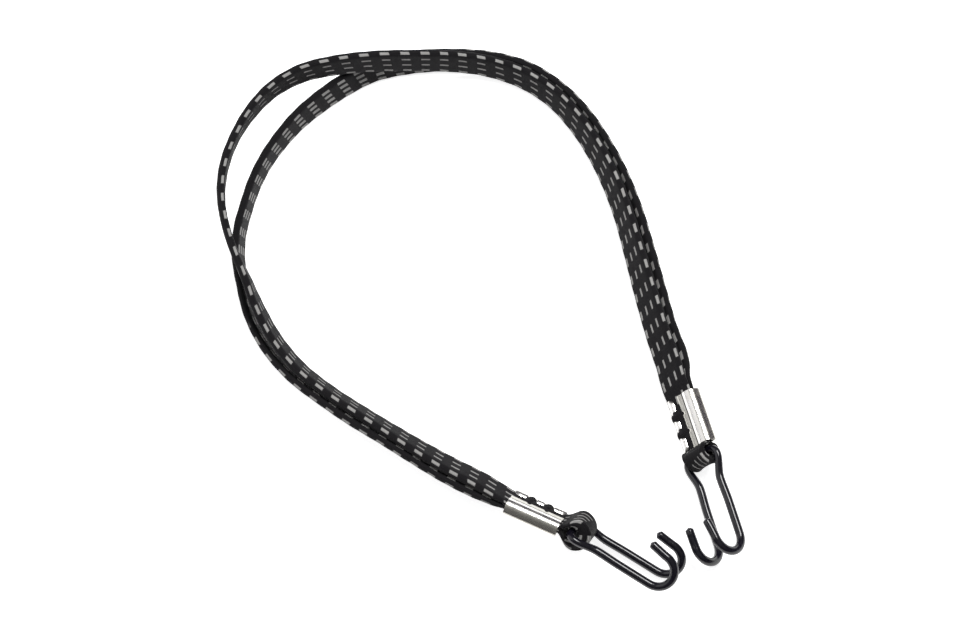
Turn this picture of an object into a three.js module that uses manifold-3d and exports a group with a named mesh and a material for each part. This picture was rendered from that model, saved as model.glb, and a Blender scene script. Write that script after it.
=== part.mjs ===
// Bungee cord for a luggage rack: one endless flat woven elastic band laid double, with an eye at each
// end held by a rolled metal clamp, and a plastic-coated double wire hook hung in each eye.
// Millimetres, +Z up, lying on the ground. The origin is under the middle of the laid-out cord.
import * as THREE from 'three';
import Module from 'manifold-3d';

const wasm = await Module();
wasm.setup();

// Woven band
const BAND_WIDTH = 12.4;
const BAND_THICKNESS = 3.2;
const BAND_EDGE_ROUND = 1.2;
const COVER_WALL = 0.5;
const COVER_EDGE_WALL = 0.6;
const STRAND_COUNT = 4;
const STRAND_CLEARANCE = 0.25;
const STRAND_SPACING = 0.35;

// Band squeezed flat inside a clamp, and bunched up in an eye
const SQUEEZED_WIDTH = 12.8;
const SQUEEZED_THICKNESS = 1.7;
const EYE_WIDTH = 10.8;
const EYE_CLEARANCE = 0.1;
const LEFT_EYE_THICKNESS = 5.2;
const RIGHT_EYE_THICKNESS = 4.2;

// Clamp
const CLAMP_LENGTH = 22;
const CLAMP_SHEET = 0.55;
const CLAMP_CORNER_RADIUS = 2.0;
const SEAM_GAP = 0.5;
const SEAM_CREASE = 0.15;
const SEAM_CREASE_REACH = 1.8;
const NOTCH_COUNT = 2;
const NOTCH_LENGTH = 3.2;
const NOTCH_WIDTH = 4.6;
const RUN_INSERTION = 3;

// Hook
const COATED_WIRE_DIAMETER = 3.0;
const COATING_WALL = 0.3;
const WIRE_CLEARANCE = 0.15;
const CROSSBAR_LENGTH = 16.6;
const CROSSBAR_CORNER_RADIUS = 3;
const NECK_SPACING = 11.5;
const NECK_DISTANCE = 12.5;
const PRONG_SPACING = 12.4;
const PRONG_DISTANCE = 22;
const LEG_LENGTH = 35.4;
const HOOK_BEND_RADIUS = 6.8;
const PRONG_RETURN = 6.2;
const PRONG_FLARE = 1.0;
const TIP_ROUNDING = 0.9;
const TIP_PINHOLE = 0.3;

// Clearance between pieces that touch in the real object
const FIT_GAP = 0.3;

// Where each crossbar lies, which way its hook points, how far it leans over and how far it has dropped;
// which way its clamp points and leans and how near it sits; how thick the band is bunched in the eye,
// how slack the eye is, and how far round it the band leaves
const LEFT_CROSSBAR = [36.3, -91.0, 10.6];
const RIGHT_CROSSBAR = [85.9, -60.1, 9.2];
const LEFT_END = layEnd({
  crossbar: LEFT_CROSSBAR, heading: -25.1, lean: -46, droop: 8.9,
  clampHeading: -25.1, clampLean: -46, clampDistance: 5.2,
  eyeThickness: LEFT_EYE_THICKNESS, eyeSlack: 1.2, tailAngle: 128,
});
const RIGHT_END = layEnd({
  crossbar: RIGHT_CROSSBAR, heading: -78, lean: 50, droop: 6,
  clampHeading: -73.5, clampLean: 45, clampDistance: 3.0,
  eyeThickness: RIGHT_EYE_THICKNESS, eyeSlack: 0.1, tailAngle: 108,
});

// Middle line of each run from the left clamp to the right clamp: x, y, height, lean of the band
const UPPER_RUN = [
  [0.4, -72.0, 11.0, 45], [-11.5, -65.3, 10.3, 47], [-23.2, -58.1, 9.6, 51], [-35.0, -50.4, 9.1, 55],
  [-46.9, -42.5, 8.9, 58], [-58.9, -34.3, 9.2, 60], [-71.4, -24.2, 10.4, 62], [-81.4, -12.1, 12.8, 66],
  [-88.1, -0.1, 16.4, 72], [-92.8, 10.8, 19.2, 80], [-97.2, 20.5, 20.2, 85], [-101.2, 32.4, 20.0, 89],
  [-103.5, 45.5, 19.4, 92], [-102.7, 59.1, 18.8, 94], [-98.9, 71.8, 18.6, 96], [-92.9, 83.1, 18.6, 93],
  [-84.2, 93.3, 18.8, 90], [-73.0, 100.1, 19.4, 87], [-59.1, 103.8, 19.6, 84], [-44.8, 105.8, 19.2, 82],
  [-28.6, 107.5, 16.8, 81], [-12.3, 109.4, 12.4, 80], [3.8, 108.6, 9.2, 79], [17.7, 104.0, 7.9, 77],
  [29.5, 95.9, 7.6, 75], [39.2, 84.5, 7.6, 72], [46.8, 71.8, 7.8, 69], [52.8, 58.3, 8.0, 66],
  [57.6, 43.6, 8.2, 65], [61.7, 26.9, 8.4, 61], [65.8, 9.4, 8.6, 55], [70.1, -7.8, 8.8, 51],
  [74.5, -22.9, 9.2, 47],
];
const LOWER_RUN = [
  [-1.0, -74.3, 8.5, 45], [-13.0, -67.8, 7.8, 47], [-24.7, -60.5, 7.3, 51], [-36.6, -52.9, 7.1, 55],
  [-48.9, -45.2, 6.6, 58], [-60.9, -36.8, 6.6, 60], [-73.9, -26.6, 6.6, 64], [-84.3, -14.2, 6.7, 68],
  [-90.8, -1.6, 6.7, 72], [-94.3, 10.3, 6.7, 77], [-96.9, 25.4, 6.6, 79], [-96.6, 35.7, 6.6, 82],
  [-94.4, 46.2, 6.6, 84], [-91.6, 56.2, 6.6, 84], [-87.3, 66.5, 6.6, 84], [-81.4, 76.3, 6.6, 82],
  [-74.0, 85.8, 6.6, 79], [-65.4, 93.9, 6.6, 76], [-55.7, 101.4, 6.5, 74], [-44.2, 108.0, 6.5, 73],
  [-28.8, 111.8, 6.5, 73], [-12.4, 112.8, 6.7, 75], [4.3, 111.7, 6.8, 77], [19.2, 107.1, 7.1, 77],
  [31.8, 98.5, 6.7, 75], [42.2, 86.7, 6.6, 72], [50.1, 73.6, 6.5, 70], [56.5, 59.7, 6.5, 67],
  [61.6, 44.7, 6.5, 64], [65.8, 27.8, 6.5, 60], [69.7, 10.4, 6.5, 56], [73.6, -7.0, 6.6, 51],
  [77.9, -21.9, 6.9, 47],
];

// Vectors
function radians(degrees) {
  return degrees * Math.PI / 180;
}

function sum(...terms) {
  const total = new THREE.Vector3();
  for (const [vector, factor] of terms) {
    total.addScaledVector(vector, factor);
  }
  return total;
}

// Directions of a piece at an end: along towards the hook, across the band, facing the visible side
function directions(headingDegrees, leanDegrees, droopDegrees) {
  const heading = radians(headingDegrees);
  const lean = radians(leanDegrees);
  const droop = radians(droopDegrees);
  const up = new THREE.Vector3(0, 0, 1);
  const level = new THREE.Vector3(Math.cos(heading), Math.sin(heading), 0);
  const sideways = new THREE.Vector3(-Math.sin(heading), Math.cos(heading), 0);
  const across = sum([sideways, Math.cos(lean)], [up, Math.sin(lean)]);
  const square = new THREE.Vector3().crossVectors(level, across);
  const along = sum([level, Math.cos(droop)], [square, -Math.sin(droop)]);
  const facing = new THREE.Vector3().crossVectors(along, across);
  return { along, across, facing };
}

function layEnd(lay) {
  return {
    crossbar: new THREE.Vector3(...lay.crossbar),
    clampDistance: lay.clampDistance,
    clampMouth: lay.clampDistance + CLAMP_LENGTH,
    eyeThickness: lay.eyeThickness,
    eyeSlack: lay.eyeSlack,
    eyeRadius: COATED_WIRE_DIAMETER / 2 + FIT_GAP + EYE_CLEARANCE + lay.eyeThickness / 2,
    tailAngle: radians(lay.tailAngle),
    clamp: directions(lay.clampHeading, lay.clampLean, 0),
    eye: directions(lay.heading, lay.lean, 0),
    hook: directions(lay.heading, lay.lean, lay.droop),
  };
}

function onEnd(end, piece, along, across, facing) {
  return sum([end.crossbar, 1], [piece.along, along], [piece.across, across], [piece.facing, facing]);
}

// Solids swept through rings of points; a second set of rings is a bore right through
function ringAt(station, outline) {
  return outline.map(([x, y]) => sum([station.at, 1], [station.across, x], [station.facing, y]));
}

function bandRing(station, outline) {
  const widthScale = station.width / BAND_WIDTH;
  const thicknessScale = station.thickness / BAND_THICKNESS;
  return ringAt(station, outline.map(([x, y]) => [x * widthScale, y * thicknessScale]));
}

function solidFromRings(outer, inner) {
  const points = [];
  const faces = [];
  const sides = outer[0].length;
  const skin = (rings, outward) => {
    const first = points.length;
    rings.forEach((ring) => points.push(...ring));
    for (let i = 0; i + 1 < rings.length; i += 1) {
      for (let j = 0; j < sides; j += 1) {
        const a = first + i * sides + j;
        const b = first + i * sides + (j + 1) % sides;
        const c = b + sides;
        const d = a + sides;
        faces.push(...(outward ? [a, b, c, a, c, d] : [a, c, b, a, d, c]));
      }
    }
    return first;
  };
  const outerFirst = skin(outer, true);
  const outerLast = outerFirst + (outer.length - 1) * sides;
  if (inner) {
    const innerFirst = skin(inner, false);
    const innerLast = innerFirst + (inner.length - 1) * sides;
    for (let j = 0; j < sides; j += 1) {
      const k = (j + 1) % sides;
      faces.push(outerFirst + j, innerFirst + j, innerFirst + k);
      faces.push(outerFirst + j, innerFirst + k, outerFirst + k);
      faces.push(outerLast + j, innerLast + k, innerLast + j);
      faces.push(outerLast + j, outerLast + k, innerLast + k);
    }
  } else {
    for (let j = 1; j + 1 < sides; j += 1) {
      faces.push(outerFirst, outerFirst + j + 1, outerFirst + j);
      faces.push(outerLast, outerLast + j, outerLast + j + 1);
    }
  }
  const geometry = new THREE.BufferGeometry();
  geometry.setAttribute('position', new THREE.Float32BufferAttribute(points.flatMap((p) => p.toArray()), 3));
  geometry.setIndex(faces);
  geometry.computeVertexNormals();
  return geometry;
}

// Section of the band: rounded flat outline, the hollow of the cover, and the rubber strands in it
function roundedFlat(halfWidth, halfThickness, round) {
  const shoulder = halfWidth - round;
  const edge = halfThickness - round * halfThickness / BAND_EDGE_ROUND / 2;
  return [
    [halfWidth, -edge], [halfWidth, edge], [shoulder, halfThickness], [0, halfThickness],
    [-shoulder, halfThickness], [-halfWidth, edge], [-halfWidth, -edge], [-shoulder, -halfThickness],
    [0, -halfThickness], [shoulder, -halfThickness],
  ];
}

const HOLLOW_HALF_WIDTH = BAND_WIDTH / 2 - COVER_EDGE_WALL;
const HOLLOW_HALF_THICKNESS = BAND_THICKNESS / 2 - COVER_WALL;
const HOLLOW_ROUND = BAND_EDGE_ROUND / 2;
const COVER_OUTLINE = roundedFlat(BAND_WIDTH / 2, BAND_THICKNESS / 2, BAND_EDGE_ROUND);
const HOLLOW_OUTLINE = roundedFlat(HOLLOW_HALF_WIDTH, HOLLOW_HALF_THICKNESS, HOLLOW_ROUND);

function strandOutline(index) {
  const row = 2 * (HOLLOW_HALF_WIDTH - HOLLOW_ROUND);
  const pitch = (row + STRAND_SPACING) / STRAND_COUNT;
  const middle = (index - (STRAND_COUNT - 1) / 2) * pitch;
  const halfWidth = (pitch - STRAND_SPACING) / 2;
  const halfThickness = HOLLOW_HALF_THICKNESS - STRAND_CLEARANCE;
  return [
    [middle + halfWidth, -halfThickness], [middle + halfWidth, halfThickness],
    [middle - halfWidth, halfThickness], [middle - halfWidth, -halfThickness],
  ];
}

// Stations of a run: flat in the left clamp, out along its points, flat again in the right clamp
const SQUEEZED_OFFSET = (SQUEEZED_THICKNESS + FIT_GAP) / 2;
const OPENING_OUT = 5;

function mouthStations(end, side, direction) {
  const depths = [
    [-RUN_INSERTION, SQUEEZED_OFFSET, SQUEEZED_WIDTH, SQUEEZED_THICKNESS],
    [FIT_GAP, SQUEEZED_OFFSET, SQUEEZED_WIDTH, SQUEEZED_THICKNESS],
    [OPENING_OUT, SQUEEZED_OFFSET + (BAND_THICKNESS - SQUEEZED_THICKNESS) / 4,
      (SQUEEZED_WIDTH + BAND_WIDTH) / 2, (SQUEEZED_THICKNESS + BAND_THICKNESS) / 2],
  ];
  return depths.map(([out, offset, width, thickness]) => ({
    at: onEnd(end, end.clamp, -end.clampMouth - out, 0, side * offset),
    across: end.clamp.across.clone().multiplyScalar(direction),
    facing: end.clamp.facing,
    width,
    thickness,
  }));
}

function runStations(points, side) {
  const start = mouthStations(LEFT_END, side, -1);
  const finish = mouthStations(RIGHT_END, side, 1).reverse();
  const places = points.map(([x, y, z]) => new THREE.Vector3(x, y, z));
  const route = [start.at(-1).at, ...places, finish[0].at];
  const up = new THREE.Vector3(0, 0, 1);
  const free = points.map((point, i) => {
    const ahead = sum([route[i + 2], 1], [route[i], -1]).normalize();
    const outward = new THREE.Vector3().crossVectors(up, ahead).normalize();
    const upward = new THREE.Vector3().crossVectors(ahead, outward);
    const lean = radians(point[3]);
    return {
      at: places[i],
      across: sum([outward, Math.cos(lean)], [upward, Math.sin(lean)]),
      facing: sum([outward, -Math.sin(lean)], [upward, Math.cos(lean)]),
      width: BAND_WIDTH,
      thickness: BAND_THICKNESS,
    };
  });
  return [...start, ...free, ...finish];
}

// Stations of an eye: in along the visible side of the clamp, round the crossbar, back behind it
const EYE_STEPS = 12;
const EYE_SWELL_RATE = 3;

function eyeStations(end) {
  const inside = end.clampMouth - RUN_INSERTION - FIT_GAP;
  const mouth = end.clampDistance - FIT_GAP;
  const tail = (side) => [-inside, -mouth].map((along) => ({
    at: onEnd(end, end.clamp, along, 0, SQUEEZED_OFFSET * side),
    across: end.clamp.across,
    facing: end.clamp.facing.clone().multiplyScalar(side),
    width: SQUEEZED_WIDTH,
    thickness: SQUEEZED_THICKNESS,
  }));
  const round = [];
  for (let i = 0; i <= EYE_STEPS; i += 1) {
    const share = 1 - 2 * i / EYE_STEPS;
    const angle = end.tailAngle * share;
    const swell = Math.min(1, (1 - Math.abs(share)) * EYE_SWELL_RATE);
    const outward = sum([end.eye.along, Math.cos(angle)], [end.eye.facing, Math.sin(angle)]);
    round.push({
      at: onEnd(end, end.eye, end.eyeSlack, 0, 0).addScaledVector(outward, end.eyeRadius),
      across: end.eye.across,
      facing: outward,
      width: SQUEEZED_WIDTH + (EYE_WIDTH - SQUEEZED_WIDTH) * swell,
      thickness: SQUEEZED_THICKNESS + (end.eyeThickness - SQUEEZED_THICKNESS) * swell,
    });
  }
  return [...tail(1), ...round, ...tail(-1).reverse()];
}

// Clamp: sheet rolled round both layers, its edges meeting along a creased and notched seam
const CLAMP_INNER_HALF_WIDTH = SQUEEZED_WIDTH / 2 + FIT_GAP;
const CLAMP_INNER_HALF_THICKNESS = SQUEEZED_THICKNESS + 1.5 * FIT_GAP;

function clampProfile() {
  const corner = (shape, x, y, radius, start, clockwise) => {
    const turn = clockwise ? -Math.PI / 2 : Math.PI / 2;
    shape.absarc(x, y, radius, start, start + turn, clockwise);
  };
  const innerRadius = CLAMP_CORNER_RADIUS - CLAMP_SHEET;
  const x = CLAMP_INNER_HALF_WIDTH - innerRadius;
  const y = CLAMP_INNER_HALF_THICKNESS - innerRadius;
  const top = CLAMP_INNER_HALF_THICKNESS;
  const seam = SEAM_GAP / 2;
  const shape = new THREE.Shape();
  shape.moveTo(seam, top - SEAM_CREASE);
  shape.lineTo(SEAM_CREASE_REACH, top);
  corner(shape, x, y, innerRadius, Math.PI / 2, true);
  corner(shape, x, -y, innerRadius, 0, true);
  corner(shape, -x, -y, innerRadius, -Math.PI / 2, true);
  corner(shape, -x, y, innerRadius, Math.PI, true);
  shape.lineTo(-SEAM_CREASE_REACH, top);
  shape.lineTo(-seam, top - SEAM_CREASE);
  shape.lineTo(-seam, top + CLAMP_SHEET - SEAM_CREASE);
  shape.lineTo(-SEAM_CREASE_REACH, top + CLAMP_SHEET);
  corner(shape, -x, y, CLAMP_CORNER_RADIUS, Math.PI / 2, false);
  corner(shape, -x, -y, CLAMP_CORNER_RADIUS, Math.PI, false);
  corner(shape, x, -y, CLAMP_CORNER_RADIUS, -Math.PI / 2, false);
  corner(shape, x, y, CLAMP_CORNER_RADIUS, 0, false);
  shape.lineTo(SEAM_CREASE_REACH, top + CLAMP_SHEET);
  shape.lineTo(seam, top + CLAMP_SHEET - SEAM_CREASE);
  shape.closePath();
  return shape;
}

function toManifold(geometry) {
  const bare = geometry.index ? geometry.toNonIndexed() : geometry;
  const position = bare.getAttribute('position');
  const places = new Map();
  const corners = [];
  const triangles = [];
  for (let i = 0; i < position.count; i += 1) {
    const corner = [position.getX(i), position.getY(i), position.getZ(i)];
    const key = corner.map((value) => value.toFixed(4)).join();
    if (!places.has(key)) {
      places.set(key, corners.length / 3);
      corners.push(...corner);
    }
    triangles.push(places.get(key));
  }
  return new wasm.Manifold(new wasm.Mesh({
    numProp: 3,
    vertProperties: new Float32Array(corners),
    triVerts: new Uint32Array(triangles),
  }));
}

function fromManifold(solid) {
  const mesh = solid.getMesh();
  const geometry = new THREE.BufferGeometry();
  geometry.setAttribute('position', new THREE.BufferAttribute(new Float32Array(mesh.vertProperties), 3));
  geometry.setIndex([...mesh.triVerts]);
  geometry.computeVertexNormals();
  return geometry;
}

function clampGeometry(end) {
  const sheet = new THREE.ExtrudeGeometry(clampProfile(), {
    depth: CLAMP_LENGTH, bevelEnabled: false, curveSegments: 5,
  });
  let solid = toManifold(sheet);
  for (let i = 1; i <= NOTCH_COUNT; i += 1) {
    const notch = new THREE.Shape([
      new THREE.Vector2(-NOTCH_WIDTH / 2, 0), new THREE.Vector2(0, -NOTCH_LENGTH / 2),
      new THREE.Vector2(NOTCH_WIDTH / 2, 0), new THREE.Vector2(0, NOTCH_LENGTH / 2),
    ]);
    const cutter = new THREE.ExtrudeGeometry(notch, { depth: 2 * CLAMP_SHEET + SEAM_CREASE, bevelEnabled: false });
    cutter.rotateX(Math.PI / 2);
    cutter.translate(0, CLAMP_INNER_HALF_THICKNESS + 1.5 * CLAMP_SHEET, CLAMP_LENGTH * i / (NOTCH_COUNT + 1));
    solid = solid.subtract(toManifold(cutter));
  }
  const geometry = fromManifold(solid);
  const place = new THREE.Matrix4().makeBasis(end.clamp.across, end.clamp.facing, end.clamp.along);
  place.setPosition(onEnd(end, end.clamp, -end.clampMouth, 0, 0));
  return geometry.applyMatrix4(place);
}

// Hook: wire path from one prong tip over the crossbar to the other tip
const CORNER_STEPS = 3;
const NECK_STEPS = 4;
const BEND_STEPS = 8;

function halfHookPath() {
  const path = [];
  const half = CROSSBAR_LENGTH / 2;
  const radius = CROSSBAR_CORNER_RADIUS;
  for (let i = 0; i <= CORNER_STEPS; i += 1) {
    const angle = Math.PI / 2 * i / CORNER_STEPS;
    path.push([radius * (1 - Math.cos(angle)), half - radius + radius * Math.sin(angle), 0]);
  }
  for (let i = 1; i <= NECK_STEPS; i += 1) {
    const share = i / NECK_STEPS;
    const eased = THREE.MathUtils.smoothstep(share, 0, 1);
    path.push([radius + (NECK_DISTANCE - radius) * share, half + (NECK_SPACING / 2 - half) * eased, 0]);
  }
  path.push([(NECK_DISTANCE + PRONG_DISTANCE) / 2, (NECK_SPACING + PRONG_SPACING) / 4, 0]);
  path.push([PRONG_DISTANCE, PRONG_SPACING / 2, 0]);
  for (let i = 0; i <= BEND_STEPS; i += 1) {
    const angle = Math.PI * i / BEND_STEPS;
    const along = LEG_LENGTH + HOOK_BEND_RADIUS * Math.sin(angle);
    path.push([along, PRONG_SPACING / 2, HOOK_BEND_RADIUS * (1 - Math.cos(angle))]);
  }
  path.push([LEG_LENGTH - PRONG_RETURN, PRONG_SPACING / 2, 2 * HOOK_BEND_RADIUS + PRONG_FLARE]);
  return path;
}

// Stations along a bent wire, each turned as little as possible from the one before
function wireStations(end) {
  const half = halfHookPath();
  const mirrored = half.map(([a, c, f]) => [a, -c, f]).reverse();
  const places = [...mirrored, ...half].map((p) => onEnd(end, end.hook, ...p));
  let across = end.hook.across.clone();
  return places.map((at, i) => {
    const before = places[Math.max(i - 1, 0)];
    const after = places[Math.min(i + 1, places.length - 1)];
    const ahead = sum([after, 1], [before, -1]).normalize();
    across = across.addScaledVector(ahead, -across.dot(ahead)).normalize().clone();
    return { at, ahead, across, facing: new THREE.Vector3().crossVectors(ahead, across) };
  });
}

function circle(radius, sides) {
  const outline = [];
  for (let i = 0; i < sides; i += 1) {
    const angle = 2 * Math.PI * (i + 0.5) / sides;
    outline.push([radius * Math.cos(angle), radius * Math.sin(angle)]);
  }
  return outline;
}

const COATING_SIDES = 8;
const WIRE_SIDES = 6;
const BORE_RADIUS = COATED_WIRE_DIAMETER / 2 - COATING_WALL;

function wireGeometry(stations) {
  const outline = circle(BORE_RADIUS - WIRE_CLEARANCE, WIRE_SIDES);
  return solidFromRings(stations.map((station) => ringAt(station, outline)));
}

// The coating runs on past the wire at both tips, rounds off there and keeps only a pinhole
function coatingGeometry(stations) {
  const moved = (station, distance) => ({ ...station, at: sum([station.at, 1], [station.ahead, distance]) });
  const radius = COATED_WIRE_DIAMETER / 2;
  const first = stations[0];
  const last = stations.at(-1);
  const outer = [
    [moved(first, -FIT_GAP - TIP_ROUNDING), radius - TIP_ROUNDING], [moved(first, -FIT_GAP), radius],
    ...stations.map((station) => [station, radius]),
    [moved(last, FIT_GAP), radius], [moved(last, FIT_GAP + TIP_ROUNDING), radius - TIP_ROUNDING],
  ];
  const bore = [
    [moved(first, -FIT_GAP - TIP_ROUNDING), TIP_PINHOLE], [moved(first, -FIT_GAP), BORE_RADIUS],
    ...stations.map((station) => [station, BORE_RADIUS]),
    [moved(last, FIT_GAP), BORE_RADIUS], [moved(last, FIT_GAP + TIP_ROUNDING), TIP_PINHOLE],
  ];
  const rings = (list) => list.map(([station, size]) => ringAt(station, circle(size, COATING_SIDES)));
  return solidFromRings(rings(outer), rings(bore));
}

// Materials
const WEBBING = new THREE.MeshStandardMaterial({ color: 0x26262a, roughness: 0.85, metalness: 0 });
const RUBBER = new THREE.MeshStandardMaterial({ color: 0x8c7a5c, roughness: 0.7, metalness: 0 });
const SHEET_METAL = new THREE.MeshStandardMaterial({ color: 0xc9c7c0, roughness: 0.3, metalness: 1 });
const STEEL = new THREE.MeshStandardMaterial({ color: 0x8d8f92, roughness: 0.4, metalness: 1 });
const COATING = new THREE.MeshStandardMaterial({ color: 0x121316, roughness: 0.25, metalness: 0 });

// Assembly
const group = new THREE.Group();
group.name = 'bungee_cord';

function addPiece(name, geometry, material) {
  const mesh = new THREE.Mesh(geometry, material);
  mesh.name = name;
  group.add(mesh);
}

function addBand(name, stations) {
  const rings = (outline) => stations.map((station) => bandRing(station, outline));
  addPiece(`${name}_cover`, solidFromRings(rings(COVER_OUTLINE), rings(HOLLOW_OUTLINE)), WEBBING);
  for (let i = 0; i < STRAND_COUNT; i += 1) {
    addPiece(`${name}_rubber_${i + 1}`, solidFromRings(rings(strandOutline(i))), RUBBER);
  }
}

addBand('upper_run', runStations(UPPER_RUN, 1));
addBand('lower_run', runStations(LOWER_RUN, -1));
for (const [side, end] of [['left', LEFT_END], ['right', RIGHT_END]]) {
  addBand(`${side}_eye`, eyeStations(end));
  addPiece(`${side}_clamp`, clampGeometry(end), SHEET_METAL);
  const stations = wireStations(end);
  addPiece(`${side}_hook_wire`, wireGeometry(stations), STEEL);
  addPiece(`${side}_hook_coating`, coatingGeometry(stations), COATING);
}

// Move the whole cord so that the origin is on the ground under its middle
const box = new THREE.Box3();
group.children.forEach((mesh) => box.expandByObject(mesh, true));
const middle = box.getCenter(new THREE.Vector3());
group.children.forEach((mesh) => mesh.geometry.translate(-middle.x, -middle.y, -box.min.z));

export default group;
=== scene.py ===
# Bungee cord for a luggage rack: an endless woven elastic band laid double, crimped metal clamps
# and black coated wire hooks, lying on a white table as in the photograph.
import math

import bmesh
import bpy
from mathutils import Matrix, Vector, noise


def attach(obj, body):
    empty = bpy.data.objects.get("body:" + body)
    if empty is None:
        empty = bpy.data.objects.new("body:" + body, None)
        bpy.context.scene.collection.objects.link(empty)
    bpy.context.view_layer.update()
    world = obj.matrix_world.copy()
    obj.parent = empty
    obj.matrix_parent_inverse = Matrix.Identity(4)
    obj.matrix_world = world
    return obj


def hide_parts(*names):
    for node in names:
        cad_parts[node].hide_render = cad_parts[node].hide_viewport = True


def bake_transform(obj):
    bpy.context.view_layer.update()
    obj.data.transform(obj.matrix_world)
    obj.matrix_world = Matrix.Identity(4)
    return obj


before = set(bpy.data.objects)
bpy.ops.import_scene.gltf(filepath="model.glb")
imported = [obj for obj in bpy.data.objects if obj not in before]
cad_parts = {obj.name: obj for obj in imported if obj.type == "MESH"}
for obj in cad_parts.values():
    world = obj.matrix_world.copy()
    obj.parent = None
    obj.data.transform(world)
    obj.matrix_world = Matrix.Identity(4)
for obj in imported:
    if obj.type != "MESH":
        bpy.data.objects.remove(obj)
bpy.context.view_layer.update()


# Viewpoint
# The cord was photographed from high above its hooks, a little over a metre away, through a long lens.
ORIGIN_SHIFT = Vector((0.00178, 0.00022, -0.00032))
VIEW_ELEVATION = math.radians(68)
VIEW_DISTANCE = 1.2
VIEW_LENS = 112.5

camera_data = bpy.data.cameras.new("camera")
camera_data.lens = VIEW_LENS
camera_data.sensor_width = 36
camera = bpy.data.objects.new("camera", camera_data)
camera.location = ORIGIN_SHIFT + VIEW_DISTANCE * Vector((0, -math.cos(VIEW_ELEVATION), math.sin(VIEW_ELEVATION)))
camera.rotation_euler = (math.pi / 2 - VIEW_ELEVATION, 0, 0)
bpy.context.scene.collection.objects.link(camera)
bpy.context.scene.camera = camera


# Woven band, the two free runs
# One flat band of black yarn woven round rubber, with rows of pale grey dashes, runs from clamp to clamp
# twice: the upper run lies on the lower one and arches over it at the far bend. It stands on its edge
# and leans outwards, nearly upright round the far bend and about half way over at the clamps.
BAND_WIDTH = 0.0124
BAND_THICKNESS = 0.0032
BAND_FLAT = (BAND_WIDTH - BAND_THICKNESS) / 2
SQUEEZED_WIDTH = 0.0128
SQUEEZED_THICKNESS = 0.0017
FIT_GAP = 0.0003
CLAMP_LENGTH = 0.022
RUN_INSERTION = 0.003
OPENING_OUT = 0.005
SQUEEZED_OFFSET = (SQUEEZED_THICKNESS + FIT_GAP) / 2
WEAVE_REPEAT = 0.0080

UPPER_RUN = [
    (0.0004, -0.0720, 0.0110, 45), (-0.0115, -0.0653, 0.0103, 47), (-0.0232, -0.0581, 0.0096, 51),
    (-0.0350, -0.0504, 0.0091, 55), (-0.0469, -0.0425, 0.0089, 58), (-0.0589, -0.0343, 0.0092, 60),
    (-0.0714, -0.0242, 0.0104, 62), (-0.0814, -0.0121, 0.0128, 66), (-0.0881, -0.0001, 0.0164, 72),
    (-0.0928, 0.0108, 0.0192, 80), (-0.0972, 0.0205, 0.0202, 85), (-0.1012, 0.0324, 0.0200, 89),
    (-0.1035, 0.0455, 0.0194, 92), (-0.1027, 0.0591, 0.0188, 94), (-0.0989, 0.0718, 0.0186, 96),
    (-0.0929, 0.0831, 0.0186, 93), (-0.0842, 0.0933, 0.0188, 90), (-0.0730, 0.1001, 0.0194, 87),
    (-0.0591, 0.1038, 0.0196, 84), (-0.0448, 0.1058, 0.0192, 82), (-0.0286, 0.1075, 0.0168, 81),
    (-0.0123, 0.1094, 0.0124, 80), (0.0038, 0.1086, 0.0092, 79), (0.0177, 0.1040, 0.0079, 77),
    (0.0295, 0.0959, 0.0076, 75), (0.0392, 0.0845, 0.0076, 72), (0.0468, 0.0718, 0.0078, 69),
    (0.0528, 0.0583, 0.0080, 66), (0.0576, 0.0436, 0.0082, 65), (0.0617, 0.0269, 0.0084, 61),
    (0.0658, 0.0094, 0.0086, 55), (0.0701, -0.0078, 0.0088, 51), (0.0745, -0.0229, 0.0092, 47),
]
LOWER_RUN = [
    (-0.0010, -0.0743, 0.0085, 45), (-0.0130, -0.0678, 0.0078, 47), (-0.0247, -0.0605, 0.0073, 51),
    (-0.0366, -0.0529, 0.0071, 55), (-0.0489, -0.0452, 0.0066, 58), (-0.0609, -0.0368, 0.0066, 60),
    (-0.0739, -0.0266, 0.0066, 64), (-0.0843, -0.0142, 0.0067, 68), (-0.0908, -0.0016, 0.0067, 72),
    (-0.0943, 0.0103, 0.0067, 77), (-0.0969, 0.0254, 0.0066, 79), (-0.0966, 0.0357, 0.0066, 82),
    (-0.0944, 0.0462, 0.0066, 84), (-0.0916, 0.0562, 0.0066, 84), (-0.0873, 0.0665, 0.0066, 84),
    (-0.0814, 0.0763, 0.0066, 82), (-0.0740, 0.0858, 0.0066, 79), (-0.0654, 0.0939, 0.0066, 76),
    (-0.0557, 0.1014, 0.0065, 74), (-0.0442, 0.1080, 0.0065, 73), (-0.0288, 0.1118, 0.0065, 73),
    (-0.0124, 0.1128, 0.0067, 75), (0.0043, 0.1117, 0.0068, 77), (0.0192, 0.1071, 0.0071, 77),
    (0.0318, 0.0985, 0.0067, 75), (0.0422, 0.0867, 0.0066, 72), (0.0501, 0.0736, 0.0065, 70),
    (0.0565, 0.0597, 0.0065, 67), (0.0616, 0.0447, 0.0065, 64), (0.0658, 0.0278, 0.0065, 60),
    (0.0697, 0.0104, 0.0065, 56), (0.0736, -0.0070, 0.0066, 51), (0.0779, -0.0219, 0.0069, 47),
]


def directions(heading, lean, droop):
    """A matrix of directions at an end: along towards the hook, across the band, facing its visible side."""
    heading, lean, droop = (math.radians(angle) for angle in (heading, lean, droop))
    level = Vector((math.cos(heading), math.sin(heading), 0))
    sideways = Vector((-math.sin(heading), math.cos(heading), 0))
    across = sideways * math.cos(lean) + Vector((0, 0, math.sin(lean)))
    along = level * math.cos(droop) - level.cross(across) * math.sin(droop)
    return Matrix((along, across, along.cross(across))).transposed()


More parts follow.
